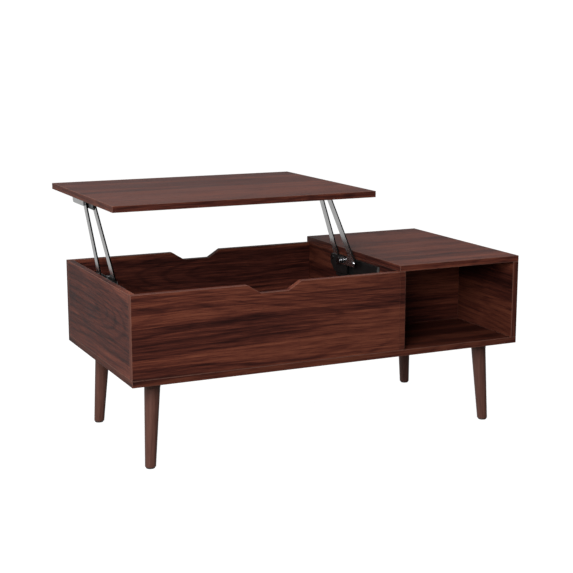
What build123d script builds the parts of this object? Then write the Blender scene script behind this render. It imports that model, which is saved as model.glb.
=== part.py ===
from build123d import *
from math import atan2, degrees, hypot, radians, tan
import os

os.makedirs("parts", exist_ok=True)

# ---------------------------------------------------------------- driving sizes
# Millimetres. +X runs along the table, +Y to the side that the lid lifts towards,
# +Z up. The origin is on the floor, in the middle of the table as it stands with
# its lid raised.
LENGTH = 1000.0
DEPTH = 500.0
BOARD = 15.0
EASE = 0.8
LEG_HEIGHT = 205.0
WALL_HEIGHT = 190.0
BIN_LENGTH = 665.0

LID_RISE = 163.0
LID_SHIFT = 118.0
LID_END_GAP = 2.0
LID_TOP_GAP = 3.0
LID_SEAT_GAP = 0.5

NOTCH_CENTRE = 340.0
NOTCH_TOP_WIDTH = 132.0
NOTCH_LOW_WIDTH = 68.0
NOTCH_DEPTH = 20.0
NOTCH_CORNER = 4.0

FOOT_INSET = (56.0, 55.0)
SEAT_INSET = (68.5, 65.6)
FOOT_RADIUS = 12.4
SEAT_RADIUS = 18.6
COLLAR_HEIGHT = 20.0
GLIDE_RADIUS = 10.5
GLIDE_HEIGHT = 3.0
GLIDE_CHAMFER = 0.8
FOOT_ROUNDING = 1.6
SEAM_ROUNDING = 0.9
COLLAR_STEP = 0.5

REAR_BAR_TILT = 33.5
FRONT_BAR_TILT = 42.4
ARM_WIDTH = 18.6
PIVOT_DROP = 13.0
PIVOT_SPACING = 56.7
REAR_PIVOT = 407.9
PIVOT_REACH = 84.9

# Levels and faces that follow from them.
LEFT = -LENGTH / 2
RIGHT = LENGTH / 2
FRONT = -(DEPTH + LID_SHIFT) / 2
BACK = FRONT + DEPTH
MIDDLE = FRONT + DEPTH / 2
UNDERSIDE = LEG_HEIGHT
BIN_FLOOR = UNDERSIDE + BOARD
RIM = BIN_FLOOR + WALL_HEIGHT
DIVIDER = LEFT + BIN_LENGTH
LID_LEFT = LEFT + LID_END_GAP
LID_RIGHT = DIVIDER - LID_TOP_GAP
LID_UNDERSIDE = RIM + LID_SEAT_GAP + LID_RISE
LID_FRONT = FRONT + LID_SHIFT
LID_BACK = BACK + LID_SHIFT

# Depths of the mechanism's layers, from the wall that its rail is screwed to.
WALL_FACE = LEFT + BOARD
RAIL_LAYER = (0.0, 6.8)
SLIDE_LAYER = (1.5, 5.3)
SLIDER_LAYER = (3.0, 4.0)
REAR_ARM_LAYER = (8.6, 12.1)
WEB_LAYER = (12.4, 14.0)
FRONT_ARM_LAYER = (14.3, 17.8)
MIRROR = Plane.YZ.offset((WALL_FACE + DIVIDER) / 2)

# The four pivots of each parallelogram, as (y, z), with the lid raised. To close, the
# arms swing forward over the top until they lie level, while the carriage that holds
# their lower pivots runs back.
ARM_LENGTH = hypot(PIVOT_REACH, LID_RISE)
PIVOT_LEVEL = RIM + LID_SEAT_GAP - PIVOT_DROP
REAR_TOP = (FRONT + REAR_PIVOT, PIVOT_LEVEL + LID_RISE)
REAR_LOW = (REAR_TOP[0] - PIVOT_REACH, PIVOT_LEVEL)
FRONT_TOP = (REAR_TOP[0] - PIVOT_SPACING, REAR_TOP[1])
FRONT_LOW = (REAR_LOW[0] - PIVOT_SPACING, REAR_LOW[1])


def on_bar(top, tilt, level):
    """Where an arm's straight bar, leaning back from the upright, passes a level."""
    return (top[0] - (top[1] - level) * tan(radians(tilt)), level)


KNEE_DROP = 1.0
FOOT_LIFT = 1.0
REAR_KNEE = on_bar(REAR_TOP, REAR_BAR_TILT, RIM - KNEE_DROP)
ARM_FOOT = on_bar(FRONT_TOP, FRONT_BAR_TILT, PIVOT_LEVEL + FOOT_LIFT)


# ---------------------------------------------------------------- shared helpers
def save(piece, name):
    """Label a finished piece and write its STEP file."""
    piece.part.label = name
    export_step(piece.part, f"parts/{name}.step")


def save_pair(piece, name):
    """Write a left-hand piece and its mirror image by the divider."""
    save(piece, f"{name}_left")
    with BuildPart() as twin:
        mirror(piece.part, about=MIRROR)
    save(twin, f"{name}_right")


def slab(x_span, y_span, z_span):
    """Add a plain rectangular block to the open part."""
    with BuildSketch(Plane.XY.offset(z_span[0])) as outline:
        with Locations((sum(x_span) / 2, sum(y_span) / 2)):
            Rectangle(x_span[1] - x_span[0], y_span[1] - y_span[0])
    extrude(outline.sketch, amount=z_span[1] - z_span[0])


def drill(points, direction, radius, depth):
    """Drill blind holes into the open part; direction points out of their mouths."""
    with Locations(*[Plane(origin=point, z_dir=direction) for point in points]):
        Hole(radius=radius, depth=depth)


def peg(start, direction, radius, length):
    """Add a round peg to the open part."""
    with BuildSketch(Plane(origin=start, z_dir=direction)) as outline:
        Circle(radius)
    extrude(outline.sketch, amount=length)


def layer(span):
    """The YZ plane at the start of a mechanism layer, and the layer's thickness."""
    return Plane.YZ.offset(WALL_FACE + span[0]), span[1] - span[0]


def disc(centre, radius, span, mode=Mode.ADD):
    """Add a disc to the open part, across a mechanism layer."""
    plane, thickness = layer(span)
    with BuildSketch(plane) as outline:
        with Locations(centre):
            Circle(radius)
    extrude(outline.sketch, amount=thickness, mode=mode)


def pierce(centre, radius, span):
    """Cut a round hole through a mechanism layer of the open part."""
    disc(centre, radius, span, Mode.SUBTRACT)


# ---------------------------------------------------------------- knock-down fixings
# Each upright board stands on the bottom panel on dowels and cam bolts. A fixing
# row says which way the board runs, where its middle plane is, which face its cams
# are let into, and where the dowels and cams are along it.
DOWEL_RADIUS = 4.0
DOWEL_IN_FLAT = 10.0
DOWEL_IN_EDGE = 20.0
CAM_RADIUS = 7.5
CAM_DEPTH = 12.0
CAM_OFFSET = 34.0
CAM_SLOT_LENGTH = 9.0
CAM_SLOT_WIDTH = 2.0
CAM_SLOT_DEPTH = 2.5
CAP_RADIUS = 9.5
CAP_THICKNESS = 0.4
BOLT_RADIUS = 3.0
BOLT_IN_FLAT = 11.0
BOLT_END_GAP = 0.8

FRONT_MID = FRONT + BOARD / 2
BACK_MID = BACK - BOARD / 2
LEFT_MID = LEFT + BOARD / 2
DIVIDER_MID = DIVIDER + BOARD / 2
RIGHT_MID = RIGHT - BOARD / 2

FLOOR_FIXINGS = {
    "front_panel": ("x", FRONT_MID, 1, (-430.0, 110.0), (-340.0, 20.0)),
    "back_panel": ("x", BACK_MID, -1, (-430.0, 110.0), (-340.0, 20.0)),
    "left_side_panel": ("y", LEFT_MID, 1, (-170.0, 170.0), (-90.0, 90.0)),
    "divider_panel": ("y", DIVIDER_MID, -1, (-200.0, 200.0), (-120.0, 120.0)),
    "right_side_panel": ("y", RIGHT_MID, -1, (-200.0, 200.0), (-120.0, 120.0)),
    "cubby_partition": ("x", MIDDLE, 1, (230.0, 435.0), (280.0, 385.0)),
}
TOP_FIXINGS = {
    "divider_panel": ("y", DIVIDER_MID, 1, (-200.0, 200.0), (-150.0, 150.0)),
    "right_side_panel": ("y", RIGHT_MID, -1, (-200.0, 200.0), (-150.0, 150.0)),
    "cubby_partition": ("x", MIDDLE, 1, (230.0, 435.0), (332.5,)),
}


def along(fixing, spots, level):
    """Points on a board's middle plane, at the given places along it."""
    run, plane_at = fixing[:2]
    if run == "x":
        return [(spot, plane_at, level) for spot in spots]
    return [(plane_at, MIDDLE + spot, level) for spot in spots]


def cam_mouths(fixing, level):
    """The cams' centres on the face they are let into, and that face's normal."""
    run, plane_at, face, _, cams = fixing
    offset = face * BOARD / 2
    if run == "x":
        return [(x, plane_at + offset, z) for x, _, z in along(fixing, cams, level)], (0, face, 0)
    return [(plane_at + offset, y, z) for _, y, z in along(fixing, cams, level)], (face, 0, 0)


def drill_board_edges(name):
    """Drill an upright board for its dowels, cam bolts and cams."""
    for fixings, edge, out in ((FLOOR_FIXINGS, BIN_FLOOR, -1), (TOP_FIXINGS, RIM, 1)):
        if name not in fixings:
            continue
        fixing = fixings[name]
        drill(along(fixing, fixing[3], edge), (0, 0, out), DOWEL_RADIUS, DOWEL_IN_EDGE)
        drill(along(fixing, fixing[4], edge), (0, 0, out), BOLT_RADIUS, CAM_OFFSET)
        mouths, normal = cam_mouths(fixing, edge - out * CAM_OFFSET)
        drill(mouths, normal, CAM_RADIUS, CAM_DEPTH)


def drill_flat_board(fixings, face, out):
    """Drill a horizontal board's face for the dowels and cam bolts that stand in it."""
    for fixing in fixings.values():
        drill(along(fixing, fixing[3], face), (0, 0, out), DOWEL_RADIUS, DOWEL_IN_FLAT)
        drill(along(fixing, fixing[4], face), (0, 0, out), BOLT_RADIUS, BOLT_IN_FLAT)


# Screw places, shared by the screws and the boards that they bite into.
RAIL_START = 100.0
RAIL_SPAN = (FRONT + RAIL_START, 6.0)
RAIL_LOW = 352.0
RAIL_HIGH = 406.0
RAIL_MIDDLE = (RAIL_LOW + RAIL_HIGH) / 2
RAIL_SHEET = 1.2
RAIL_SCREW_RADIUS = 2.0
RAIL_SCREW_BITE = 11.0
RAIL_SCREW_STEPS = (18.0, 78.0, 138.0, 198.0)
RAIL_SCREW_SPOTS = [(RAIL_SPAN[0] + step, RAIL_MIDDLE) for step in RAIL_SCREW_STEPS]
BRACKET_SCREW_RADIUS = 1.75
BRACKET_SCREW_BITE = 10.0
BRACKET_FRONT_MARGIN = 10.5
BRACKET_REAR_MARGIN = 114.0
BRACKET_SPAN = (FRONT_TOP[0] - BRACKET_FRONT_MARGIN, REAR_TOP[0] + BRACKET_REAR_MARGIN)
BRACKET_SHELF = 24.0
BRACKET_SCREW_INSET = 15.0
BRACKET_SCREW_X = WALL_FACE + WEB_LAYER[0] + BRACKET_SCREW_INSET
BRACKET_SCREW_STEPS = (14.0, 64.0, 114.0, 166.0)
BRACKET_SCREW_SPOTS = [(BRACKET_SCREW_X, BRACKET_SPAN[0] + step) for step in BRACKET_SCREW_STEPS]
MIRROR_X = WALL_FACE + DIVIDER
BUMPER_RADIUS = 4.0
BUMPER_RECESS = 1.0
BUMPER_INSET = 60.0
BUMPER_SPOTS = [
    (x, y)
    for x in (LID_LEFT + BUMPER_INSET, LID_RIGHT - BUMPER_INSET)
    for y in (LID_FRONT + BOARD / 2, LID_BACK - BOARD / 2)
]


# ---------------------------------------------------------------- legs
LEG_CORNERS = {
    "front_left": (LEFT, FRONT, 1, 1),
    "front_right": (RIGHT, FRONT, -1, 1),
    "back_left": (LEFT, BACK, 1, -1),
    "back_right": (RIGHT, BACK, -1, -1),
}
HANGER_RADIUS = 4.0
HANGER_SPAN = (150.0, 214.0)
NUT_RADIUS = 6.5
NUT_DEPTH = 12.0


def leg_axis(corner, level):
    """The point where a leg's splayed centre line passes a level."""
    x, y, x_sign, y_sign = corner
    share = level / LEG_HEIGHT
    inset_x = FOOT_INSET[0] + share * (SEAT_INSET[0] - FOOT_INSET[0])
    inset_y = FOOT_INSET[1] + share * (SEAT_INSET[1] - FOOT_INSET[1])
    return (x + x_sign * inset_x, y + y_sign * inset_y, level)


def leg_radius(level):
    """The leg's radius at a level."""
    return FOOT_RADIUS + (SEAT_RADIUS - FOOT_RADIUS) * level / LEG_HEIGHT


def splayed_cone(corner, low, high, low_radius, high_radius, mode=Mode.ADD):
    """Loft a round bar along a leg's centre line, between two levels."""
    sections = []
    for level, radius in ((low, low_radius), (high, high_radius)):
        with BuildSketch(Plane(origin=leg_axis(corner, level), z_dir=(0, 0, 1))) as section:
            Circle(radius)
        sections.append(section.sketch)
    loft(sections, mode=mode)


seam = LEG_HEIGHT - COLLAR_HEIGHT
for place, corner in LEG_CORNERS.items():
    with BuildPart() as leg:
        splayed_cone(corner, GLIDE_HEIGHT, seam, leg_radius(GLIDE_HEIGHT), leg_radius(seam))
        fillet(leg.edges().sort_by(Axis.Z)[0], radius=FOOT_ROUNDING)
        fillet(leg.edges().sort_by(Axis.Z)[-1], radius=SEAM_ROUNDING)
        splayed_cone(corner, HANGER_SPAN[0], seam, HANGER_RADIUS, HANGER_RADIUS, Mode.SUBTRACT)
    save(leg, f"leg_{place}")

    with BuildPart() as leg_collar:
        seam_radius = leg_radius(seam) + COLLAR_STEP
        splayed_cone(corner, seam, LEG_HEIGHT, seam_radius, SEAT_RADIUS + COLLAR_STEP)
        fillet(leg_collar.edges().sort_by(Axis.Z)[0], radius=SEAM_ROUNDING)
        splayed_cone(corner, seam, LEG_HEIGHT, HANGER_RADIUS, HANGER_RADIUS, Mode.SUBTRACT)
    save(leg_collar, f"leg_collar_{place}")

with BuildPart() as foot_glides:
    for corner in LEG_CORNERS.values():
        peg(leg_axis(corner, 0.0), (0, 0, 1), GLIDE_RADIUS, GLIDE_HEIGHT)
    chamfer(foot_glides.edges().group_by(Axis.Z)[0], length=GLIDE_CHAMFER)
save(foot_glides, "foot_glides")

with BuildPart() as leg_hanger_bolts:
    for corner in LEG_CORNERS.values():
        splayed_cone(corner, *HANGER_SPAN, HANGER_RADIUS, HANGER_RADIUS)
save(leg_hanger_bolts, "leg_hanger_bolts")

with BuildPart() as leg_insert_nuts:
    for corner in LEG_CORNERS.values():
        peg(leg_axis(corner, UNDERSIDE), (0, 0, 1), NUT_RADIUS, NUT_DEPTH)
    for corner in LEG_CORNERS.values():
        splayed_cone(corner, UNDERSIDE, HANGER_SPAN[1], HANGER_RADIUS, HANGER_RADIUS, Mode.SUBTRACT)
save(leg_insert_nuts, "leg_insert_nuts")


# ---------------------------------------------------------------- boards
with BuildPart() as bottom_panel:
    slab((LEFT, RIGHT), (FRONT, BACK), (UNDERSIDE, BIN_FLOOR))
    fillet(bottom_panel.edges(), radius=EASE)
    drill_flat_board(FLOOR_FIXINGS, BIN_FLOOR, 1)
    nut_seats = [leg_axis(corner, UNDERSIDE) for corner in LEG_CORNERS.values()]
    drill(nut_seats, (0, 0, -1), NUT_RADIUS, NUT_DEPTH)
save(bottom_panel, "bottom_panel")


def notched_panel(name, face):
    """A long wall of the storage bin, with a hand notch in its top edge."""
    centre = LEFT + NOTCH_CENTRE
    with BuildPart() as panel:
        with BuildSketch(Plane.XZ.offset(-face)):
            with Locations(((LEFT + DIVIDER) / 2, (BIN_FLOOR + RIM) / 2)):
                Rectangle(BIN_LENGTH, WALL_HEIGHT)
            with BuildLine():
                Polyline(
                    (centre - NOTCH_TOP_WIDTH / 2, RIM),
                    (centre - NOTCH_LOW_WIDTH / 2, RIM - NOTCH_DEPTH),
                    (centre + NOTCH_LOW_WIDTH / 2, RIM - NOTCH_DEPTH),
                    (centre + NOTCH_TOP_WIDTH / 2, RIM),
                    close=True,
                )
            make_face(mode=Mode.SUBTRACT)
        extrude(amount=-BOARD)
        corners = panel.edges().filter_by(Axis.Y).filter_by_position(Axis.Z, RIM - NOTCH_DEPTH, RIM)
        inner = corners.filter_by_position(Axis.X, LEFT + BOARD, DIVIDER - BOARD)
        fillet(inner, radius=NOTCH_CORNER)
        outline = panel.faces().filter_by(Axis.Y).edges()
        fillet(outline, radius=EASE)
        drill_board_edges(name)
    return panel


front_panel = notched_panel("front_panel", FRONT)
save(front_panel, "front_panel")

back_panel = notched_panel("back_panel", BACK - BOARD)
save(back_panel, "back_panel")

with BuildPart() as left_side_panel:
    slab((LEFT, WALL_FACE), (FRONT + BOARD, BACK - BOARD), (BIN_FLOOR, RIM))
    fillet(left_side_panel.edges(), radius=EASE)
    drill_board_edges("left_side_panel")
    pilot_holes = [(WALL_FACE, y, z) for y, z in RAIL_SCREW_SPOTS]
    drill(pilot_holes, (1, 0, 0), RAIL_SCREW_RADIUS, RAIL_SCREW_BITE)
save(left_side_panel, "left_side_panel")

with BuildPart() as divider_panel:
    slab((DIVIDER, DIVIDER + BOARD), (FRONT, BACK), (BIN_FLOOR, RIM))
    fillet(divider_panel.edges(), radius=EASE)
    drill_board_edges("divider_panel")
    pilot_holes = [(DIVIDER, y, z) for y, z in RAIL_SCREW_SPOTS]
    drill(pilot_holes, (-1, 0, 0), RAIL_SCREW_RADIUS, RAIL_SCREW_BITE)
save(divider_panel, "divider_panel")

with BuildPart() as right_side_panel:
    slab((RIGHT - BOARD, RIGHT), (FRONT, BACK), (BIN_FLOOR, RIM))
    fillet(right_side_panel.edges(), radius=EASE)
    drill_board_edges("right_side_panel")
save(right_side_panel, "right_side_panel")

with BuildPart() as cubby_partition:
    slab((DIVIDER + BOARD, RIGHT - BOARD), (MIDDLE - BOARD / 2, MIDDLE + BOARD / 2), (BIN_FLOOR, RIM))
    fillet(cubby_partition.edges(), radius=EASE)
    drill_board_edges("cubby_partition")
save(cubby_partition, "cubby_partition")

with BuildPart() as fixed_top_panel:
    slab((DIVIDER, RIGHT), (FRONT, BACK), (RIM, RIM + BOARD))
    fillet(fixed_top_panel.edges(), radius=EASE)
    drill_flat_board(TOP_FIXINGS, RIM, -1)
save(fixed_top_panel, "fixed_top_panel")

with BuildPart() as lift_top_panel:
    slab((LID_LEFT, LID_RIGHT), (LID_FRONT, LID_BACK), (LID_UNDERSIDE, LID_UNDERSIDE + BOARD))
    fillet(lift_top_panel.edges(), radius=EASE)
    screw_holes = [
        (screw_x, y, LID_UNDERSIDE)
        for x, y in BRACKET_SCREW_SPOTS
        for screw_x in (x, MIRROR_X - x)
    ]
    drill(screw_holes, (0, 0, -1), BRACKET_SCREW_RADIUS, BRACKET_SCREW_BITE)
    bumper_seats = [(x, y, LID_UNDERSIDE) for x, y in BUMPER_SPOTS]
    drill(bumper_seats, (0, 0, -1), BUMPER_RADIUS, BUMPER_RECESS)
save(lift_top_panel, "lift_top_panel")

with BuildPart() as lid_bumpers:
    for x, y in BUMPER_SPOTS:
        bottom = LID_UNDERSIDE - LID_SEAT_GAP
        peg((x, y, bottom), (0, 0, 1), BUMPER_RADIUS, BUMPER_RECESS + LID_SEAT_GAP)
save(lid_bumpers, "lid_bumpers")


# ---------------------------------------------------------------- hidden fixings
ALL_FIXINGS = [(fixing, BIN_FLOOR, -1) for fixing in FLOOR_FIXINGS.values()]
ALL_FIXINGS += [(fixing, RIM, 1) for fixing in TOP_FIXINGS.values()]

with BuildPart() as wood_dowels:
    for fixing, edge, out in ALL_FIXINGS:
        start = edge + out * DOWEL_IN_FLAT
        for point in along(fixing, fixing[3], start):
            peg(point, (0, 0, -out), DOWEL_RADIUS, DOWEL_IN_FLAT + DOWEL_IN_EDGE)
save(wood_dowels, "wood_dowels")

with BuildPart() as cam_bolts:
    bolt_length = BOLT_IN_FLAT + CAM_OFFSET - CAM_RADIUS - BOLT_END_GAP
    for fixing, edge, out in ALL_FIXINGS:
        start = edge + out * BOLT_IN_FLAT
        for point in along(fixing, fixing[4], start):
            peg(point, (0, 0, -out), BOLT_RADIUS, bolt_length)
save(cam_bolts, "cam_bolts")

with BuildPart() as cam_locks:
    for fixing, edge, out in ALL_FIXINGS:
        mouths, normal = cam_mouths(fixing, edge - out * CAM_OFFSET)
        inward = tuple(-part for part in normal)
        for point in mouths:
            peg(point, inward, CAM_RADIUS, CAM_DEPTH)
        for point in mouths:
            with BuildSketch(Plane(origin=point, z_dir=normal)):
                Rectangle(CAM_SLOT_LENGTH, CAM_SLOT_WIDTH)
                Rectangle(CAM_SLOT_WIDTH, CAM_SLOT_LENGTH)
            extrude(amount=-CAM_SLOT_DEPTH, mode=Mode.SUBTRACT)
save(cam_locks, "cam_locks")

# Thin foil discs that hide the cams.
with BuildPart() as cam_caps:
    for fixing, edge, out in ALL_FIXINGS:
        mouths, normal = cam_mouths(fixing, edge - out * CAM_OFFSET)
        for point in mouths:
            peg(point, normal, CAP_RADIUS, CAP_THICKNESS)
save(cam_caps, "cam_caps")


# ---------------------------------------------------------------- lift mechanism
# Left-hand pieces, each mirrored for the divider side. From the wall inwards: a
# telescopic slide of three members, the rear arm, the web that both lower pivots
# share, and the front arm.
LIP_HEIGHT = 5.0
SLIDE_PLAY = 0.4
SLIDE_SHEET = 1.0
SHEET = 1.6
PIN_RADIUS = 4.0
PIN_CLEARANCE = 0.05
HEAD_RADIUS = 6.2
HEAD_HEIGHT = 1.5
WASHER_RADIUS = 8.0
RAIL_HEAD_RADIUS = RAIL_SCREW_RADIUS + RAIL_SHEET
SCREW_HEAD_RADIUS = 3.8
SCREW_HEAD_HEIGHT = 2.2
RECESS_LENGTH = 4.4
RECESS_WIDTH = 1.0
STOP_LENGTH = 3.6
STOP_GAP = 0.4
SLIDE_END_MARGIN = 4.0


def lipped_channel(span, layer_span, half_height, sheet):
    """Extrude a C-channel along Y: a back plate, two flanges and two inward lips."""
    near, far = layer_span
    with BuildSketch(Plane.XZ.offset(-span[0])) as outline:
        with Locations((WALL_FACE + (near + far) / 2, RAIL_MIDDLE)):
            Rectangle(far - near, 2 * half_height)
        with Locations((WALL_FACE + (near + far) / 2, RAIL_MIDDLE)):
            Rectangle(far - near - 2 * sheet, 2 * (half_height - sheet), mode=Mode.SUBTRACT)
        with Locations((WALL_FACE + far - sheet / 2, RAIL_MIDDLE)):
            slot_height = 2 * (half_height - sheet - LIP_HEIGHT)
            Rectangle(sheet, slot_height, mode=Mode.SUBTRACT)
    extrude(outline.sketch, amount=span[0] - span[1])


def cross_recess(plane, depth):
    """Cut a cross-head driver's recess into the open part."""
    with BuildSketch(plane) as recess:
        Rectangle(RECESS_LENGTH, RECESS_WIDTH)
        Rectangle(RECESS_WIDTH, RECESS_LENGTH)
    extrude(recess.sketch, amount=-depth, mode=Mode.SUBTRACT)


RAIL_HALF = (RAIL_HIGH - RAIL_LOW) / 2
SLIDE_HALF = RAIL_HALF - RAIL_SHEET - SLIDE_PLAY
SLIDER_HALF = SLIDE_HALF - SLIDE_SHEET - SLIDE_PLAY
SLIDE_SPAN = (RAIL_SPAN[0] + STOP_LENGTH + STOP_GAP, RAIL_SPAN[1] - SLIDE_END_MARGIN)

with BuildPart() as base_rail:
    lipped_channel(RAIL_SPAN, RAIL_LAYER, RAIL_HALF, RAIL_SHEET)
    screw_seats = [
        Plane(origin=(WALL_FACE + RAIL_SHEET, y, z), z_dir=(1, 0, 0)) for y, z in RAIL_SCREW_SPOTS
    ]
    with Locations(*screw_seats):
        CounterSinkHole(
            radius=RAIL_SCREW_RADIUS, counter_sink_radius=RAIL_HEAD_RADIUS, depth=RAIL_SHEET
        )
save_pair(base_rail, "base_rail")

with BuildPart() as slide_rail:
    lipped_channel(SLIDE_SPAN, SLIDE_LAYER, SLIDE_HALF, SLIDE_SHEET)
save_pair(slide_rail, "slide_rail")

with BuildPart() as rail_screws:
    for y, z in RAIL_SCREW_SPOTS:
        head_plane = Plane(origin=(WALL_FACE + RAIL_SHEET, y, z), z_dir=(1, 0, 0))
        peg(head_plane.origin, (-1, 0, 0), RAIL_SCREW_RADIUS, RAIL_SHEET + RAIL_SCREW_BITE)
        with BuildSketch(head_plane.offset(-RAIL_SHEET)) as neck:
            Circle(RAIL_SCREW_RADIUS)
        with BuildSketch(head_plane) as rim:
            Circle(RAIL_HEAD_RADIUS)
        loft([neck.sketch, rim.sketch])
        cross_recess(head_plane, RAIL_SHEET / 2)
save_pair(rail_screws, "rail_screws")

with BuildPart() as rail_stops:
    slab(
        (WALL_FACE + RAIL_SHEET, WALL_FACE + RAIL_LAYER[1] - RAIL_SHEET),
        (RAIL_SPAN[0], RAIL_SPAN[0] + STOP_LENGTH),
        (RAIL_LOW + RAIL_SHEET, RAIL_HIGH - RAIL_SHEET),
    )
save_pair(rail_stops, "rail_stops")

# The web's toe stays low, so that the lid's bracket passes over it.
WEB_TOE_LENGTH = 24.0
WEB_TOE_DEPTH = 22.0
WEB_TOE_FACE = (12.0, 9.0)
WEB_HEEL_LENGTH = 10.0
WEB_HEEL_DEPTH = 24.0
WEB_CORNER = 8.0
CARRIAGE_SPAN = (FRONT_LOW[0] - WEB_TOE_LENGTH, REAR_LOW[0] + WEB_HEEL_LENGTH)
WEB_FOOT = 363.0
WEB_TOP = PIVOT_LEVEL + 9.0
SPRING_HOLE = (FRONT_LOW[0] + 24.0, PIVOT_LEVEL - 14.0)
SPRING_WIRE = 1.1

with BuildPart() as pivot_carriage:
    slider_x = (WALL_FACE + SLIDER_LAYER[0], WALL_FACE + SLIDER_LAYER[1])
    slab(slider_x, SLIDE_SPAN, (RAIL_MIDDLE - SLIDER_HALF, RAIL_MIDDLE + SLIDER_HALF))
    bridge_x = (slider_x[0], WALL_FACE + WEB_LAYER[1])
    bridge_y = (CARRIAGE_SPAN[0], SLIDE_SPAN[1])
    slab(bridge_x, bridge_y, (WEB_FOOT, WEB_FOOT + SHEET))
    web_plane, web_thickness = layer(WEB_LAYER)
    with BuildSketch(web_plane) as web_outline:
        with BuildLine():
            Polyline(
                (CARRIAGE_SPAN[0], WEB_FOOT),
                (CARRIAGE_SPAN[0], WEB_TOP - WEB_TOE_DEPTH),
                (FRONT_LOW[0] - WEB_TOE_FACE[0], WEB_TOP - WEB_TOE_DEPTH),
                (FRONT_LOW[0] - WEB_TOE_FACE[1], WEB_TOP),
                (CARRIAGE_SPAN[1], WEB_TOP),
                (CARRIAGE_SPAN[1], WEB_TOP - WEB_HEEL_DEPTH),
                (SLIDE_SPAN[1], WEB_FOOT),
                close=True,
            )
        make_face()
        fillet(web_outline.vertices().group_by(Axis.Y)[-1], radius=WEB_CORNER)
    extrude(web_outline.sketch, amount=web_thickness)
    pierce(REAR_LOW, PIN_RADIUS, WEB_LAYER)
    pierce(FRONT_LOW, PIN_RADIUS, WEB_LAYER)
    pierce(SPRING_HOLE, SPRING_WIRE, WEB_LAYER)
save_pair(pivot_carriage, "pivot_carriage")


def arm_link(start, end):
    """Add one straight, round-ended link of an arm to the open sketch."""
    run = end[0] - start[0]
    rise = end[1] - start[1]
    with Locations(((start[0] + end[0]) / 2, (start[1] + end[1]) / 2)):
        SlotCenterToCenter(hypot(run, rise), ARM_WIDTH, rotation=degrees(atan2(rise, run)))


with BuildPart() as rear_arm:
    arm_plane, arm_thickness = layer(REAR_ARM_LAYER)
    with BuildSketch(arm_plane):
        arm_link(REAR_KNEE, REAR_TOP)
        arm_link(REAR_LOW, REAR_KNEE)
        with Locations(REAR_LOW, REAR_TOP):
            Circle(PIN_RADIUS + PIN_CLEARANCE, mode=Mode.SUBTRACT)
    extrude(amount=arm_thickness)
save_pair(rear_arm, "rear_arm")

STUD_RADIUS = 3.0
STUD_HEAD_RADIUS = 5.4
STUD_HEAD_HEIGHT = 3.2
STUD_ROUNDING = 1.2
CROTCH_REACH = (16.0, 12.0)
CROTCH_ROUNDING = 9.0

with BuildPart() as front_arm:
    arm_plane, arm_thickness = layer(FRONT_ARM_LAYER)
    with BuildSketch(arm_plane) as front_arm_outline:
        arm_link(ARM_FOOT, FRONT_TOP)
        arm_link(FRONT_LOW, ARM_FOOT)
        near_crotch = (ARM_FOOT[0] + CROTCH_REACH[0], ARM_FOOT[1] + CROTCH_REACH[1], 0)
        crotch = front_arm_outline.vertices().sort_by_distance(near_crotch)[0]
        fillet(crotch, radius=CROTCH_ROUNDING)
        with Locations(FRONT_LOW, FRONT_TOP):
            Circle(PIN_RADIUS + PIN_CLEARANCE, mode=Mode.SUBTRACT)
        with Locations(ARM_FOOT):
            Circle(STUD_RADIUS, mode=Mode.SUBTRACT)
    extrude(amount=arm_thickness)
save_pair(front_arm, "front_arm")

with BuildPart() as arm_stud:
    disc(ARM_FOOT, STUD_RADIUS, FRONT_ARM_LAYER)
    disc(ARM_FOOT, STUD_HEAD_RADIUS, (FRONT_ARM_LAYER[1], FRONT_ARM_LAYER[1] + STUD_HEAD_HEIGHT))
    fillet(arm_stud.edges().sort_by(Axis.X)[-1], radius=STUD_ROUNDING)
save_pair(arm_stud, "arm_stud")

SPOOL_END = 26.2
SPOOL_RIM = 3.0

with BuildPart() as carriage_pins:
    disc(REAR_LOW, HEAD_RADIUS, (REAR_ARM_LAYER[0] - HEAD_HEIGHT, REAR_ARM_LAYER[0]))
    disc(REAR_LOW, PIN_RADIUS, (REAR_ARM_LAYER[0], WEB_LAYER[1]))
    disc(REAR_LOW, HEAD_RADIUS, (WEB_LAYER[1], WEB_LAYER[1] + HEAD_HEIGHT))
    disc(FRONT_LOW, PIN_RADIUS, (WEB_LAYER[0], FRONT_ARM_LAYER[1]))
    disc(FRONT_LOW, HEAD_RADIUS, (FRONT_ARM_LAYER[1], SPOOL_END))
    disc(FRONT_LOW, HEAD_RADIUS + SPOOL_RIM, (SPOOL_END, SPOOL_END + HEAD_HEIGHT))
save_pair(carriage_pins, "carriage_pins")

with BuildPart() as lid_pins:
    disc(REAR_TOP, HEAD_RADIUS, (REAR_ARM_LAYER[0] - HEAD_HEIGHT, REAR_ARM_LAYER[0]))
    disc(REAR_TOP, PIN_RADIUS, (REAR_ARM_LAYER[0], WEB_LAYER[1]))
    disc(FRONT_TOP, HEAD_RADIUS, (WEB_LAYER[0] - HEAD_HEIGHT, WEB_LAYER[0]))
    disc(FRONT_TOP, PIN_RADIUS, (WEB_LAYER[0], FRONT_ARM_LAYER[1]))
    disc(FRONT_TOP, HEAD_RADIUS, (FRONT_ARM_LAYER[1], FRONT_ARM_LAYER[1] + HEAD_HEIGHT))
save_pair(lid_pins, "lid_pins")


def washer_pair(rear, front):
    """Nylon washers between the web or flange and the two arms that turn on it."""
    with BuildPart() as washers:
        for centre, span in (
            (rear, (REAR_ARM_LAYER[1], WEB_LAYER[0])),
            (front, (WEB_LAYER[1], FRONT_ARM_LAYER[0])),
        ):
            disc(centre, WASHER_RADIUS, span)
            pierce(centre, PIN_RADIUS, span)
    return washers


carriage_washers = washer_pair(REAR_LOW, FRONT_LOW)
save_pair(carriage_washers, "carriage_washers")

lid_washers = washer_pair(REAR_TOP, FRONT_TOP)
save_pair(lid_washers, "lid_washers")

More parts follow.
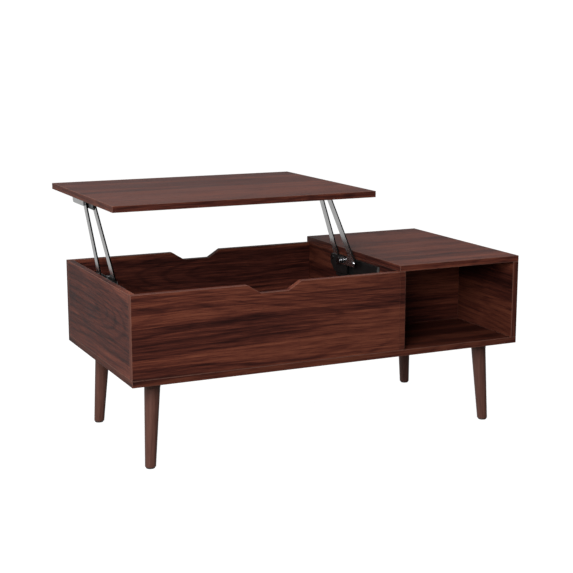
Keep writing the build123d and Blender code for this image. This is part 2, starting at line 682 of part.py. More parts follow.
COIL_RADIUS = HEAD_RADIUS + 0.4
COIL_TURNS = 3
COIL_GAP = 0.7

with BuildPart() as lift_spring:
    coil_start = FRONT_ARM_LAYER[1] + COIL_GAP
    pitch = 2 * SPRING_WIRE
    coil_plane = Plane(
        origin=(WALL_FACE + coil_start, *FRONT_LOW), x_dir=(0, 1, 0), z_dir=(0, 0, 1)
    )
    with BuildSketch(coil_plane):
        with BuildLine():
            Polyline(
                (COIL_RADIUS + SPRING_WIRE, 0.0),
                (COIL_RADIUS, 0.0),
                (COIL_RADIUS, -COIL_TURNS * pitch),
                (COIL_RADIUS + SPRING_WIRE, -COIL_TURNS * pitch),
            )
            for turn in range(COIL_TURNS):
                ThreePointArc(
                    (COIL_RADIUS + SPRING_WIRE, -turn * pitch),
                    (COIL_RADIUS + 2 * SPRING_WIRE, -(turn + 0.5) * pitch),
                    (COIL_RADIUS + SPRING_WIRE, -(turn + 1) * pitch),
                )
        make_face()
    revolve(axis=Axis((WALL_FACE, *FRONT_LOW), (1, 0, 0)))
save_pair(lift_spring, "lift_spring")

BRACKET_DEPTH = 23.0
BRACKET_CORNER = 9.0

with BuildPart() as lid_bracket:
    flange_plane, flange_thickness = layer(WEB_LAYER)
    flange_middle = (sum(BRACKET_SPAN) / 2, LID_UNDERSIDE - BRACKET_DEPTH / 2)
    with BuildSketch(flange_plane) as flange_outline:
        with Locations(flange_middle):
            Rectangle(BRACKET_SPAN[1] - BRACKET_SPAN[0], BRACKET_DEPTH)
        fillet(flange_outline.vertices().group_by(Axis.Y)[0], radius=BRACKET_CORNER)
    extrude(amount=flange_thickness)
    shelf_x = (WALL_FACE + WEB_LAYER[0], WALL_FACE + WEB_LAYER[0] + BRACKET_SHELF)
    slab(shelf_x, BRACKET_SPAN, (LID_UNDERSIDE - SHEET, LID_UNDERSIDE))
    pierce(REAR_TOP, PIN_RADIUS, WEB_LAYER)
    pierce(FRONT_TOP, PIN_RADIUS, WEB_LAYER)
    shelf_holes = [(x, y, LID_UNDERSIDE - SHEET) for x, y in BRACKET_SCREW_SPOTS]
    drill(shelf_holes, (0, 0, -1), BRACKET_SCREW_RADIUS, SHEET)
save_pair(lid_bracket, "lid_bracket")

with BuildPart() as bracket_screws:
    for x, y in BRACKET_SCREW_SPOTS:
        under_shelf = LID_UNDERSIDE - SHEET
        peg((x, y, under_shelf), (0, 0, 1), BRACKET_SCREW_RADIUS, SHEET + BRACKET_SCREW_BITE)
        peg((x, y, under_shelf), (0, 0, -1), SCREW_HEAD_RADIUS, SCREW_HEAD_HEIGHT)
        head_plane = Plane(origin=(x, y, under_shelf - SCREW_HEAD_HEIGHT), z_dir=(0, 0, -1))
        cross_recess(head_plane, SCREW_HEAD_HEIGHT / 2)
save_pair(bracket_screws, "bracket_screws")
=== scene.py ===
import math

import bpy
from mathutils import Euler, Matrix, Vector


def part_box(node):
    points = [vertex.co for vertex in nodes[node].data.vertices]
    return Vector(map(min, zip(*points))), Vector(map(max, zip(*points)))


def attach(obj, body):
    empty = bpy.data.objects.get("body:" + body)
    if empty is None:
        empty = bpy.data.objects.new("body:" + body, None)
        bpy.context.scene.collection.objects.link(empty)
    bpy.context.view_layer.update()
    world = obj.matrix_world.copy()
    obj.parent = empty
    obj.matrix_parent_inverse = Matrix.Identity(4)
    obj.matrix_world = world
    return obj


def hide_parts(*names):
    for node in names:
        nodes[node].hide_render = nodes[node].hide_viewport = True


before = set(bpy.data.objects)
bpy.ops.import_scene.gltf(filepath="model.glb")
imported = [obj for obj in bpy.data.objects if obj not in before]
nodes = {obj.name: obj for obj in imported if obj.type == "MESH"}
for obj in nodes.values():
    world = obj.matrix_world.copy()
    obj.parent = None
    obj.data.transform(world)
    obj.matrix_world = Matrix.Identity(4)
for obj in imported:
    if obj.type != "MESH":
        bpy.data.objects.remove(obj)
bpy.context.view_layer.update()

MM = 0.001
SIDES = ("left", "right")

# ---------------------------------------------------------------- places
# Metres, in the CAD model's frame: +X along the table, +Y towards the side that the
# lid lifts to, +Z up, the floor at zero. Turns are in degrees.
CAMERA_PLACE = (-1.3416, -2.8811, 0.9570)
CAMERA_TURN = (78.91, 0.0, -25.2)
CAMERA_LENS = 80.64
CAMERA_SENSOR = 36.0
CAMERA_REACH = 60.0

FLOOR_RADIUS = 14.0
FLOOR_GLOW = 0.98
FLOOR_WHITE = 0.12
DOME_GLOW = 1.2
DOME_WHITE = 0.02
BRIGHT_SIDE = Vector((-0.62, 0.62, 0.48))
WORLD_DIM = 0.15
WORLD_BRIGHT = 0.42
# Place, target, side in metres and power in watts.
SOFT_BOXES = {
    "key": ((-2.1, -2.5, 1.7), (-0.1, 0.0, 0.30), 1.6, 98.0),
    "top": ((-0.6, 0.4, 2.9), (0.0, 0.0, 0.4), 2.4, 45.0),
}

# The hand notches in the two long walls of the bin.
NOTCH_CENTRE = -160 * MM
NOTCH_TOP_HALF = 66 * MM
NOTCH_LOW_HALF = 34 * MM
NOTCH_DEPTH = 20 * MM

# The painted highlight along each arris is full up to the first distance from it, and gone at the
# second.
ARRIS_SOLID = 0.4 * MM
ARRIS_FADED = 1.7 * MM
ARRIS_SHARE = 0.62
# A flush end counts as lying this much further out.
FLUSH_REACH = 10 * MM
# A face belongs to a board's end when its normal leans along the grain by more than this.
END_FACING = 0.75
# A face of sheet steel gets the full painted shade of an edge below the first lean along X, and
# none above the second.
EDGE_SHADE_FACING = (0.55, 0.85)

# The lift springs' wire. The leg's places are (Y, Z) from the coils' axis, hook first.
SPRING_WIRE = 1.1 * MM
SPRING_TURNS = 3
SPRING_STEPS = 16
SPRING_START = math.radians(-75.0)
SPRING_LEG = ((24 * MM, -14 * MM), (23.2 * MM, -13.5 * MM), (12 * MM, -8 * MM))

# Rounded corners that catch the light on the mechanism's sheet parts and pins.
ROUNDED = ("rear_arm", "front_arm", "lid_bracket", "pivot_carriage", "carriage_pins", "lid_pins")
ROUNDING_WIDTH = 0.35 * MM
ROUNDING_SEGMENTS = 2
ROUNDING_ANGLE = math.radians(40.0)

# ---------------------------------------------------------------- colours, linear
LEG_DARK = (0.060, 0.023, 0.017)
LEG_BROWN = (0.130, 0.053, 0.038)
LEG_PALE = (0.200, 0.086, 0.062)
WALNUT_DARK = (0.018, 0.0044, 0.0036)
WALNUT_BROWN = (0.061, 0.0148, 0.0104)
WALNUT_RED = (0.120, 0.0305, 0.0180)
WALNUT_GOLD = (0.208, 0.063, 0.034)
# The colour of the painted highlight along the boards' arrises.
ARRIS_HIGHLIGHT = (0.190, 0.092, 0.068)
BEECH_DARK = (0.40, 0.26, 0.15)
BEECH_PALE = (0.62, 0.45, 0.28)
STEEL_PALE = (0.88, 0.88, 0.87)
STEEL_DULL = (0.78, 0.78, 0.78)
# Painted shade for the steel sheets' edges, the faces that don't face along X.
STEEL_EDGE_SHADE = (0.03, 0.03, 0.03)
BLACK_COAT = (0.010, 0.010, 0.010)
BLACK_COAT_DEEP = (0.005, 0.005, 0.005)
ZINC_DULL = (0.46, 0.46, 0.47)
ZINC_PALE = (0.72, 0.72, 0.74)
WIRE_DARK = (0.10, 0.10, 0.11)
WIRE_PALE = (0.24, 0.24, 0.25)
NYLON = (0.68, 0.66, 0.60)
RUBBER = (0.060, 0.058, 0.055)
GLIDE_BLACK = (0.024, 0.020, 0.018)
WHITE = (1.0, 1.0, 1.0)

# ---------------------------------------------------------------- the walnut figure
# Layers of noise: scale along the grain and across it (per metre), detail and roughness.
FIGURE = {
    "band": (0.7, 15.0, 3.0, 0.55),
    "heart": (1.1, 7.5, 1.0, 0.35),
    "wobble": (11.0, 95.0, 2.0, 0.5),
    "streak": (1.8, 150.0, 3.0, 0.66),
    "fleck": (15.0, 430.0, 2.0, 0.6),
    "fibre": (30.0, 1300.0, 2.0, 0.6),
    "pore": (75.0, 1900.0, 1.0, 0.5),
}
# The grain sways from side to side.
SWAY_SCALE = (2.6, 7.0, 7.0)
SWAY_WIDTH = 16 * MM
# Bands: the noise levels between which some of them turn dark, and the shares of the parts.
BAND_TURN = (0.44, 0.54)
BAND_SOFT = 0.6
BAND_HARD = 0.22
BAND_BASE = 0.09
# Pores: the noise levels where one begins and where it is full.
PORE_LEVELS = (0.62, 0.72)
# Cathedral lines: how many times the broad noise folds, and how much they wobble.
RING_FOLDS = 34.0
RING_WOBBLE = 0.9
# Late wood: how much darker a line is, and how far from it that fades out.
BOARD_LATE_WOOD = (0.13, 0.5)
LEG_LATE_WOOD = (0.06, 0.4)
# A board's seed, or a leg's, moves it to its own part of the noise.
BOARD_STEP = (3.17, 1.31, 0.73)
LEG_STEP = (0.37, 0.91, 0.13)
# Each layer's share of the tint, which the colour ramps turn into colour.
BAND_SHARE = 1.05
BOARD_TINT = {"streak": 0.85, "fleck": 0.90, "fibre": 0.35}
LEG_TINT = {"streak": 0.5, "fleck": 0.3, "fibre": 0.2}
WALNUT_RAMP = [(0.12, WALNUT_DARK), (0.38, WALNUT_BROWN), (0.62, WALNUT_RED), (0.92, WALNUT_GOLD)]
LEG_RAMP = [(0.25, LEG_DARK), (0.5, LEG_BROWN), (0.78, LEG_PALE)]

# Grain axis, seed, and what sets a board apart. Tones are painted light and shade that brighten or
# darken a whole board; they and the shares of bands follow the photo.
BOARDS = {
    "front_panel": {"grain": "X", "seed": 1.0, "notched": True, "flush": "high"},
    "back_panel": {"grain": "X", "seed": 2.0, "tone": 1.1, "notched": True, "flush": "high"},
    "left_side_panel": {"grain": "Y", "seed": 3.0, "tone": 1.25, "bands": 0.8},
    "divider_panel": {"grain": "Y", "seed": 4.0, "tone": 0.88, "flush": "low", "matched": 1.0},
    "right_side_panel": {"grain": "Y", "seed": 5.0, "tone": 0.8},
    "cubby_partition": {"grain": "X", "seed": 6.0, "tone": 1.25},
    "fixed_top_panel": {"grain": "X", "seed": 7.0, "tone": 1.08, "bands": 0.5},
    "lift_top_panel": {"grain": "X", "seed": 8.0, "tone": 0.97, "bands": 0.5},
    "bottom_panel": {"grain": "X", "seed": 9.0, "tone": 0.72},
}
FOIL_IOR = 1.24

CORNERS = ("front_left", "front_right", "back_left", "back_right")
LEG_TONE = 0.94
COLLAR_TONE = 0.81
LEG_ZOOM = 1.6
STAIN_IOR = 1.38


# ---------------------------------------------------------------- node helpers
class Graph:
    """A node tree, with short calls for the nodes that these materials share."""

    def __init__(self, tree):
        self.tree = tree

    def node(self, kind, **settings):
        made = self.tree.nodes.new(kind)
        for key, value in settings.items():
            setattr(made, key, value)
        return made

    def feed(self, socket, value):
        """Link a socket into another one, or set a plain value on it."""
        if isinstance(value, bpy.types.NodeSocket):
            self.tree.links.new(value, socket)
        elif isinstance(value, tuple) and len(value) == 3 and socket.type == "RGBA":
            socket.default_value = (*value, 1.0)
        else:
            socket.default_value = value

    def math(self, operation, *values, clamp=False):
        made = self.node("ShaderNodeMath", operation=operation, use_clamp=clamp)
        for socket, value in zip(made.inputs, values):
            self.feed(socket, value)
        return made.outputs[0]

    def total(self, shares):
        """The sum of some values, each times its share."""
        parts = [self.math("MULTIPLY", value, share) for value, share in shares]
        whole = parts[0]
        for part in parts[1:]:
            whole = self.math("ADD", whole, part)
        return whole

    def vector(self, operation, *values):
        made = self.node("ShaderNodeVectorMath", operation=operation)
        for socket, value in zip(made.inputs, values):
            self.feed(socket, value)
        return made.outputs["Value"] if operation == "DOT_PRODUCT" else made.outputs[0]

    def split(self, vector):
        made = self.node("ShaderNodeSeparateXYZ")
        self.feed(made.inputs[0], vector)
        return made.outputs

    def join(self, x, y, z):
        made = self.node("ShaderNodeCombineXYZ")
        for socket, value in zip(made.inputs, (x, y, z)):
            self.feed(socket, value)
        return made.outputs[0]

    def noise(self, vector, detail=2.0, roughness=0.5):
        made = self.node("ShaderNodeTexNoise")
        self.feed(made.inputs["Vector"], vector)
        made.inputs["Scale"].default_value = 1.0
        made.inputs["Detail"].default_value = detail
        made.inputs["Roughness"].default_value = roughness
        made.inputs["Distortion"].default_value = 0.0
        return made.outputs[0]

    def rescale(self, value, low, high, to_low=0.0, to_high=1.0):
        """Ease a value from one range to another, and hold it there outside the range."""
        made = self.node("ShaderNodeMapRange", interpolation_type="SMOOTHSTEP")
        for socket, number in zip(made.inputs, (value, low, high, to_low, to_high)):
            self.feed(socket, number)
        return made.outputs[0]

    def choose(self, share, first, second, data_type="RGBA", blend_type="MIX"):
        """The first value at share 0, the second one at share 1."""
        made = self.node("ShaderNodeMix", data_type=data_type)
        if data_type == "RGBA":
            made.blend_type = blend_type
        sockets = [s for s in made.inputs if s.enabled]
        for socket, value in zip(sockets, (share, first, second)):
            self.feed(socket, value)
        return next(s for s in made.outputs if s.enabled)

    def ramp(self, value, stops):
        made = self.node("ShaderNodeValToRGB")
        made.color_ramp.interpolation = "B_SPLINE"
        elements = made.color_ramp.elements
        while len(elements) < len(stops):
            elements.new(0.5)
        for element, (place, colour) in zip(elements, stops):
            element.position = place
            element.color = (*colour, 1.0)
        self.feed(made.inputs[0], value)
        return made.outputs[0]

    def bump(self, height, distance, strength):
        made = self.node("ShaderNodeBump")
        made.inputs["Strength"].default_value = strength
        made.inputs["Distance"].default_value = distance
        self.feed(made.inputs["Height"], height)
        return made.outputs[0]


class Finish(Graph):
    """A material and its one Principled shader."""

    def __init__(self, name, **uniform):
        self.material = bpy.data.materials.new(name)
        self.material.use_nodes = True
        super().__init__(self.material.node_tree)
        self.shader = self.tree.nodes["Principled BSDF"]
        for socket, value in uniform.items():
            self.set(socket.replace("_", " "), value)
        self.place = self.node("ShaderNodeTexCoord").outputs

    def set(self, socket, value):
        self.feed(self.shader.inputs[socket], value)

    def mottle(self, scale, detail=2.0):
        """Noise over the object. The scale, per metre, is one number or one for each axis."""
        scales = scale if isinstance(scale, tuple) else (scale,) * 3
        return self.noise(self.vector("MULTIPLY", self.place["Object"], scales), detail=detail)


# ---------------------------------------------------------------- wood
def shifted(finish, place, seed, step):
    """Coordinates moved to a piece's own part of the noise."""
    return finish.vector("ADD", place, tuple(seed * part for part in step))


def board_grain(finish, low, high, grain, seed, matched):
    """Coordinates with the grain first. On the two ends the foil runs along the end instead.

    Where an end lies flush beside another board's face, it carries on that board's
    figure, and matched is that board's seed. The board's plain X, Y and Z come second.
    """
    axes = "XYZ"
    spans = {axis: high[i] - low[i] for i, axis in enumerate(axes)}
    wide, thin = sorted((axis for axis in axes if axis != grain), key=spans.get, reverse=True)
    place = dict(zip(axes, finish.split(finish.place["Object"])))
    normal = dict(zip(axes, finish.split(finish.place["Normal"])))
    faces = finish.join(place[grain], place[wide], place[thin])
    faces = shifted(finish, faces, seed, BOARD_STEP)
    if matched is None:
        ends = finish.join(place[wide], place[thin], place[grain])
        ends = shifted(finish, ends, seed, BOARD_STEP)
    else:
        ends = finish.join(place["X"], place["Z"], place["Y"])
        ends = shifted(finish, ends, matched, BOARD_STEP)
    on_end = finish.math("GREATER_THAN", finish.math("ABSOLUTE", normal[grain]), END_FACING)
    return finish.choose(on_end, faces, ends, data_type="VECTOR"), place


def swaying(finish, place):
    """Coordinates whose grain wanders a little from side to side."""
    sway = finish.noise(finish.vector("MULTIPLY", place, SWAY_SCALE), detail=1.0)
    sway = finish.math("MULTIPLY", finish.math("SUBTRACT", sway, 0.5), SWAY_WIDTH)
    return finish.vector("ADD", place, finish.join(0.0, sway, 0.0))


def layer(finish, place, name, zoom=1.0):
    """One layer of the figure, from 0 to 1."""
    along, across, detail, roughness = FIGURE[name]
    scales = (along * zoom, across * zoom, across * zoom)
    return finish.noise(finish.vector("MULTIPLY", place, scales), detail, roughness)


def broad_bands(finish, place):
    """Broad light and dark bands, some of them with a clear edge, from 0 to 1."""
    band = layer(finish, place, "band")
    edged = finish.rescale(band, *BAND_TURN)
    return finish.math("ADD", finish.total([(band, BAND_SOFT), (edged, BAND_HARD)]), BAND_BASE)


def late_wood(finish, place, depth, reach, zoom=1.0):
    """Nested cathedral lines: how much each point is darkened by the line next to it."""
    heart = layer(finish, place, "heart", zoom)
    wobble = layer(finish, place, "wobble", zoom)
    folds = finish.total([(heart, RING_FOLDS), (wobble, RING_WOBBLE)])
    from_line = finish.math("PINGPONG", folds, 1.0)
    return finish.rescale(from_line, 0.0, reach, depth, 0.0)


def fine_layers(finish, place, zoom=1.0):
    """Streaks, flecks and fibres by name, and the pores, each from 0 to 1."""
    layers = {name: layer(finish, place, name, zoom) for name in ("streak", "fleck", "fibre")}
    return layers, finish.rescale(layer(finish, place, "pore", zoom), *PORE_LEVELS)


def set_grain_relief(finish, fibre, pore, depth, strength):
    """Raised fibres and sunk pores."""
    relief = finish.math("SUBTRACT", finish.math("MULTIPLY", fibre, 0.4), pore)
    finish.set("Normal", finish.bump(relief, depth, strength))


def arris_distance(finish, place, low, high, notched, flush):
    """How far a point of the board is from its nearest arris, in metres.

    An end that meets another board's face flush counts as being out of reach.
    """
    low = [low[0] - (FLUSH_REACH if flush == "low" else 0.0), low[1], low[2]]
    high = [high[0] + (FLUSH_REACH if flush == "high" else 0.0), high[1], high[2]]
    gaps = []
    for i, axis in enumerate("XYZ"):
        top = high[i]
        if notched and axis == "Z":
            beside = finish.math("ABSOLUTE", finish.math("SUBTRACT", place["X"], NOTCH_CENTRE))
            slope = NOTCH_DEPTH / (NOTCH_TOP_HALF - NOTCH_LOW_HALF)
            drop = finish.math("SUBTRACT", NOTCH_TOP_HALF, beside)
            drop = finish.math("MULTIPLY", drop, slope)
            drop = finish.math("MINIMUM", finish.math("MAXIMUM", drop, 0.0), NOTCH_DEPTH)
            top = finish.math("SUBTRACT", high[i], drop)
        below = finish.math("SUBTRACT", place[axis], low[i])
        above = finish.math("SUBTRACT", top, place[axis])
        gaps.append(finish.math("MINIMUM", below, above))
    first, second, third = gaps
    least = finish.math("MINIMUM", first, second)
    most = finish.math("MAXIMUM", first, second)
    return finish.math("MAXIMUM", least, finish.math("MINIMUM", most, third))


def walnut_board(
    node, grain, seed, tone=1.0, bands=BAND_SHARE, notched=False, flush=None, matched=None
):
    """Satin walnut foil over one board, with a painted highlight along every arris."""
    low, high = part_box(node)
    finish = Finish(f"walnut_{node}", IOR=FOIL_IOR)
    laid, place = board_grain(finish, low, high, grain, seed, matched)
    laid = swaying(finish, laid)
    layers, pore = fine_layers(finish, laid)

    shares = [(broad_bands(finish, laid), bands)]
    shares += [(layers[name], share) for name, share in BOARD_TINT.items()]
    tint = finish.total([(finish.math("SUBTRACT", value, 0.5), share) for value, share in shares])
    tint = finish.math("ADD", tint, 0.5)
    darker = late_wood(finish, laid, *BOARD_LATE_WOOD)
    tint = finish.math("SUBTRACT", tint, darker, clamp=True)
    colour = finish.ramp(tint, WALNUT_RAMP)
    # The tone paints light and shade over the whole board: above one it brightens it, below one it
    # darkens it.
    colour = finish.choose(1.0, colour, (tone, tone, tone), blend_type="MULTIPLY")
    colour = finish.choose(finish.math("MULTIPLY", pore, 0.55), colour, WALNUT_DARK)

    # A painted highlight along every arris, its strength broken up by noise.
    highlight_mottle = finish.mottle(60.0)
    gap = arris_distance(finish, place, low, high, notched, flush)
    near = finish.rescale(gap, ARRIS_SOLID, ARRIS_FADED, 1.0, 0.0)
    line = finish.math("MULTIPLY", near, ARRIS_SHARE)
    line = finish.math("MULTIPLY", line, finish.rescale(highlight_mottle, 0.25, 0.6, 0.65, 1.0))
    finish.set("Base Color", finish.choose(line, colour, ARRIS_HIGHLIGHT))

    sheen = finish.math("ADD", finish.math("MULTIPLY", layers["fleck"], 0.12), 0.36)
    sheen = finish.math("ADD", sheen, finish.math("MULTIPLY", finish.mottle(9.0), 0.08))
    finish.set("Roughness", finish.math("ADD", sheen, finish.math("MULTIPLY", pore, 0.2)))
    set_grain_relief(finish, layers["fibre"], pore, 0.05 * MM, 0.5)
    return finish.material


def stained_leg(node, seed, tone):
    """Solid turned wood, stained walnut, with fine straight grain up the leg."""
    finish = Finish(f"stain_{node}", IOR=STAIN_IOR)
    x, y, z = finish.split(shifted(finish, finish.place["Object"], seed, LEG_STEP))
    upright = swaying(finish, finish.join(z, x, y))
    layers, pore = fine_layers(finish, upright, LEG_ZOOM)

    tint = finish.total([(layers[name], share) for name, share in LEG_TINT.items()])
    darker = late_wood(finish, upright, *LEG_LATE_WOOD, zoom=LEG_ZOOM)
    tint = finish.math("SUBTRACT", tint, darker, clamp=True)
    colour = finish.ramp(tint, LEG_RAMP)
    colour = finish.choose(1.0, colour, (tone, tone, tone), blend_type="MULTIPLY")
    colour = finish.choose(finish.math("MULTIPLY", pore, 0.4), colour, WALNUT_DARK)
    finish.set("Base Color", colour)
    sheen = finish.math("ADD", finish.math("MULTIPLY", layers["fleck"], 0.14), 0.33)
    finish.set("Roughness", sheen)
    set_grain_relief(finish, layers["fibre"], pore, 0.06 * MM, 0.45)
    return finish.material


def bare_beech():
    """Fluted dowel stock, unfinished."""
    finish = Finish("bare_beech", Roughness=0.7)
    grain = finish.mottle((700.0, 700.0, 40.0))
    finish.set("Base Color", finish.ramp(grain, [(0.3, BEECH_DARK), (0.7, BEECH_PALE)]))
    finish.set("Normal", finish.bump(grain, 0.1 * MM, 0.4))
    return finish.material


# ---------------------------------------------------------------- metal, plastic, rubber
def coated_steel(
    name, colour, dark, metallic, roughness, coat=0.0, edge_shade=None, joint_shade_y=None
):
    """Sheet steel with a thin coating: faint orange peel, drawn lines, and rubbed patches.

    The sheets of the mechanism lie across X, so what faces another way is an edge, which gets
    painted shade.
    On the -Y side of a given Y, the sheet gets the same painted shade as an edge.
    """
    finish = Finish(name, Metallic=metallic, Coat_Weight=coat, Coat_Roughness=0.12)
    peel = finish.mottle(1400.0)
    drawn = finish.mottle((900.0, 60.0, 60.0), detail=3.0)
    cloud = finish.mottle(38.0, detail=3.0)
    tone = finish.choose(finish.rescale(cloud, 0.3, 0.7), dark, colour)
    # Faces that don't lie across X get painted shade.
    if edge_shade:
        across = finish.math("ABSOLUTE", finish.split(finish.place["Normal"])[0])
        tone = finish.choose(finish.rescale(across, *EDGE_SHADE_FACING), edge_shade, tone)
    # Painted shade round the arms' joints, on the -Y side of the given Y.
    if joint_shade_y is not None:
        behind = finish.math("GREATER_THAN", finish.split(finish.place["Object"])[1], joint_shade_y)
        tone = finish.choose(behind, edge_shade, tone)
    finish.set("Base Color", tone)
    spread = finish.math("MULTIPLY", finish.math("SUBTRACT", drawn, 0.5), 0.18)
    finish.set("Roughness", finish.math("ADD", spread, roughness))
    finish.set("Normal", finish.bump(peel, 0.02 * MM, 0.35))
    return finish.material


def cloudy_metal(name, low, high):
    """Zinc plate or oiled spring wire, slightly blue, with a cloudy bloom."""
    finish = Finish(name, Metallic=1.0)
    bloom = finish.mottle(260.0, detail=4.0)
    turned = finish.mottle((90.0, 1500.0, 1500.0))
    finish.set("Base Color", finish.ramp(bloom, [(0.3, low), (0.7, high)]))
    finish.set("Roughness", finish.math("ADD", finish.math("MULTIPLY", bloom, 0.25), 0.14))
    finish.set("Normal", finish.bump(turned, 0.02 * MM, 0.4))
    return finish.material


def moulded(name, colour, roughness, grit):
    """Moulded plastic or rubber with a fine matt texture."""
    finish = Finish(name)
    texture = finish.mottle(grit, detail=3.0)
    paler = tuple(part * 1.35 + 0.01 for part in colour)
    finish.set("Base Color", finish.choose(texture, colour, paler))
    finish.set("Roughness", finish.math("ADD", finish.math("MULTIPLY", texture, 0.2), roughness))
    finish.set("Normal", finish.bump(texture, 0.05 * MM, 0.5))
    return finish.material


# ---------------------------------------------------------------- painting the CAD nodes
def paint(node, material):
    """Give a whole CAD node one material."""
    materials = nodes[node].data.materials
    materials.clear()
    materials.append(material)


for board, look in BOARDS.items():
    paint(board, walnut_board(board, **look))
# The stick-on caps carry on the figure of the board that they are most seen against.
paint("cam_caps", nodes["right_side_panel"].data.materials[0])

for seed, corner in enumerate(CORNERS):
    paint(f"leg_{corner}", stained_leg(f"leg_{corner}", seed + 1.0, LEG_TONE))
    paint(f"leg_collar_{corner}", stained_leg(f"leg_collar_{corner}", seed + 6.0, COLLAR_TONE))

zinc = cloudy_metal("zinc_plate", ZINC_DULL, ZINC_PALE)
spring_wire = cloudy_metal("oiled_spring_wire", WIRE_DARK, WIRE_PALE)
beech = bare_beech()
nylon = moulded("nylon", NYLON, 0.38, 900.0)
rubber = moulded("rubber", RUBBER, 0.62, 1300.0)
glide_plastic = moulded("glide_plastic", GLIDE_BLACK, 0.42, 700.0)
black_steel = coated_steel("black_steel", BLACK_COAT, BLACK_COAT_DEEP, 0.0, 0.42, coat=0.1)
grey_steel = coated_steel("grey_steel", STEEL_PALE, STEEL_DULL, 1.0, 0.24, edge_shade=STEEL_EDGE_SHADE)
# The lid brackets get painted shade round the arms' joints, as dark as an edge, up to just past the
# rear washer.
joint_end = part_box("lid_washers_left")[1][1] + 1 * MM
flange_steel = coated_steel(
    "flange_steel", STEEL_PALE, STEEL_DULL, 1.0, 0.24, edge_shade=STEEL_EDGE_SHADE, joint_shade_y=joint_end
)

SINGLE_LOOKS = {
    "leg_hanger_bolts": zinc,
    "leg_insert_nuts": zinc,
    "cam_bolts": zinc,
    "cam_locks": zinc,
    "wood_dowels": beech,
    "foot_glides": glide_plastic,
    "lid_bumpers": rubber,
}
for node, material in SINGLE_LOOKS.items():
    paint(node, material)

SIDE_LOOKS = {
    "base_rail": black_steel,
    "slide_rail": black_steel,
    "pivot_carriage": black_steel,
    "rail_stops": rubber,
    "rail_screws": zinc,
    "carriage_pins": spring_wire,
    "carriage_washers": nylon,
    "lift_spring": zinc,
    "rear_arm": grey_steel,
    "front_arm": grey_steel,
    "arm_stud": zinc,
    "lid_bracket": flange_steel,
    "bracket_screws": zinc,
    "lid_pins": spring_wire,
    "lid_washers": nylon,
}
for side in SIDES:
    for part, material in SIDE_LOOKS.items():
        paint(f"{part}_{side}", material)


# ---------------------------------------------------------------- lift springs
def wire(name, points, radius, body, material):
    """A bent wire through some points, as a round-section curve that rides on a body."""
    curve = bpy.data.curves.new(name, "CURVE")
    curve.dimensions = "3D"
    curve.bevel_depth = radius
    curve.bevel_resolution = 3
    curve.resolution_u = 3
    curve.use_fill_caps = True
    spline = curve.splines.new("NURBS")
    spline.points.add(len(points) - 1)
    for knot, point in zip(spline.points, points):
        knot.co = (*point, 1.0)
    spline.order_u = 3
    spline.use_endpoint_u = True
    curve.materials.append(material)
    piece = bpy.data.objects.new(name, curve)
    bpy.context.scene.collection.objects.link(piece)
    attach(piece, body)
    return piece


def torsion_spring(side, inward):
    """Coils round the front lower pivot, with one leg hooked in the carriage's web."""
    low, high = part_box(f"lift_spring_{side}")
    axis_y = (low[1] + high[1]) / 2
    axis_z = (low[2] + high[2]) / 2
    start, end = (low[0], high[0]) if inward > 0 else (high[0], low[0])
    first = start + inward * SPRING_WIRE
    last = end - inward * SPRING_WIRE
    radius = (high[1] - low[1]) / 2 - SPRING_WIRE
    steps = SPRING_TURNS * SPRING_STEPS
    points = [
        (along, axis_y + y, axis_z + z)
        for along, (y, z) in zip((start, first, first), SPRING_LEG)
    ]
    for step in range(steps + 1):
        turn = SPRING_START + 2 * math.pi * step / SPRING_STEPS
        along = first + (last - first) * step / steps
        points.append((along, axis_y + radius * math.cos(turn), axis_z + radius * math.sin(turn)))
    spring = wire(f"spring_coil_{side}", points, SPRING_WIRE, f"carriage_{side}", spring_wire)
    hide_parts(f"lift_spring_{side}")


torsion_spring("left", 1)
torsion_spring("right", -1)

for side in SIDES:
    for part in ROUNDED:
        rounding = nodes[f"{part}_{side}"].modifiers.new("rounding", "BEVEL")
        rounding.width = ROUNDING_WIDTH
        rounding.segments = ROUNDING_SEGMENTS
        rounding.limit_method = "ANGLE"
        rounding.angle_limit = ROUNDING_ANGLE


# ---------------------------------------------------------------- studio
def glowing(name, glow, white):
    """A matt white that glows, with a barely visible unevenness."""
    finish = Finish(name, Roughness=1.0, IOR=1.0, Emission_Color=WHITE, Emission_Strength=glow)
    low = (white - 0.01,) * 3
    high = (white + 0.01,) * 3
    finish.set("Base Color", finish.ramp(finish.mottle(3.0), [(0.3, low), (0.7, high)]))
    return finish.material


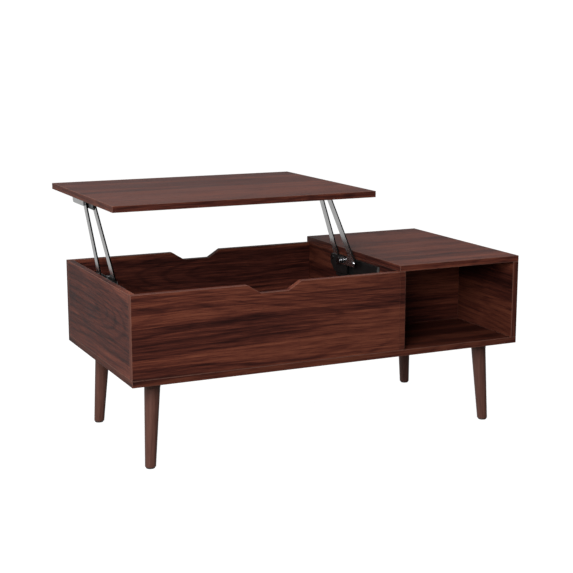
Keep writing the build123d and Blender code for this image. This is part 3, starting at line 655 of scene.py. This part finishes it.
def make_floor():
    """One wide pale floor, which lights nothing."""
    bpy.ops.mesh.primitive_circle_add(vertices=96, radius=FLOOR_RADIUS, fill_type="NGON")
    floor = bpy.context.object
    floor.name = "studio_floor"
    floor.data.materials.append(glowing("studio_floor", FLOOR_GLOW, FLOOR_WHITE))
    floor.visible_diffuse = False
    floor.visible_glossy = False


def make_backdrop():
    """A white dome round the floor, which lights nothing."""
    bpy.ops.mesh.primitive_uv_sphere_add(segments=64, ring_count=32, radius=FLOOR_RADIUS)
    dome = bpy.context.object
    dome.name = "studio_dome"
    dome.data.materials.append(glowing("studio_dome", DOME_GLOW, DOME_WHITE))
    dome.visible_diffuse = False
    dome.visible_glossy = False
    dome.visible_transmission = False
    dome.visible_shadow = False


def make_world():
    """A soft studio, bright above and behind on the left, and dim on the camera's side."""
    world = bpy.data.worlds.new("studio")
    bpy.context.scene.world = world
    world.use_nodes = True
    graph = Graph(world.node_tree)
    background = world.node_tree.nodes["Background"]
    towards = graph.node("ShaderNodeTexCoord").outputs["Generated"]
    facing = graph.vector("DOT_PRODUCT", towards, tuple(BRIGHT_SIDE.normalized()))
    level = graph.rescale(facing, -0.45, 0.75, WORLD_DIM, WORLD_BRIGHT)
    graph.feed(background.inputs["Color"], WHITE)
    graph.feed(background.inputs["Strength"], level)


def soft_box(name, place, target, size, power):
    """A square area light that faces a point."""
    light = bpy.data.lights.new(name, "AREA")
    light.shape = "SQUARE"
    light.size = size
    light.energy = power
    lamp = bpy.data.objects.new(name, light)
    bpy.context.scene.collection.objects.link(lamp)
    lamp.location = place
    lamp.rotation_euler = (Vector(target) - Vector(place)).to_track_quat("-Z", "Y").to_euler()


def make_camera():
    """The camera of the photo."""
    camera = bpy.data.cameras.new("camera")
    camera.lens = CAMERA_LENS
    camera.sensor_width = CAMERA_SENSOR
    camera.clip_end = CAMERA_REACH
    stand = bpy.data.objects.new("camera", camera)
    bpy.context.scene.collection.objects.link(stand)
    stand.location = CAMERA_PLACE
    stand.rotation_euler = Euler([math.radians(turn) for turn in CAMERA_TURN])
    bpy.context.scene.camera = stand


bpy.context.scene.view_settings.view_transform = "Standard"
make_world()
make_floor()
make_backdrop()
make_camera()
for name, (place, target, size, power) in SOFT_BOXES.items():
    soft_box(name, place, target, size, power)
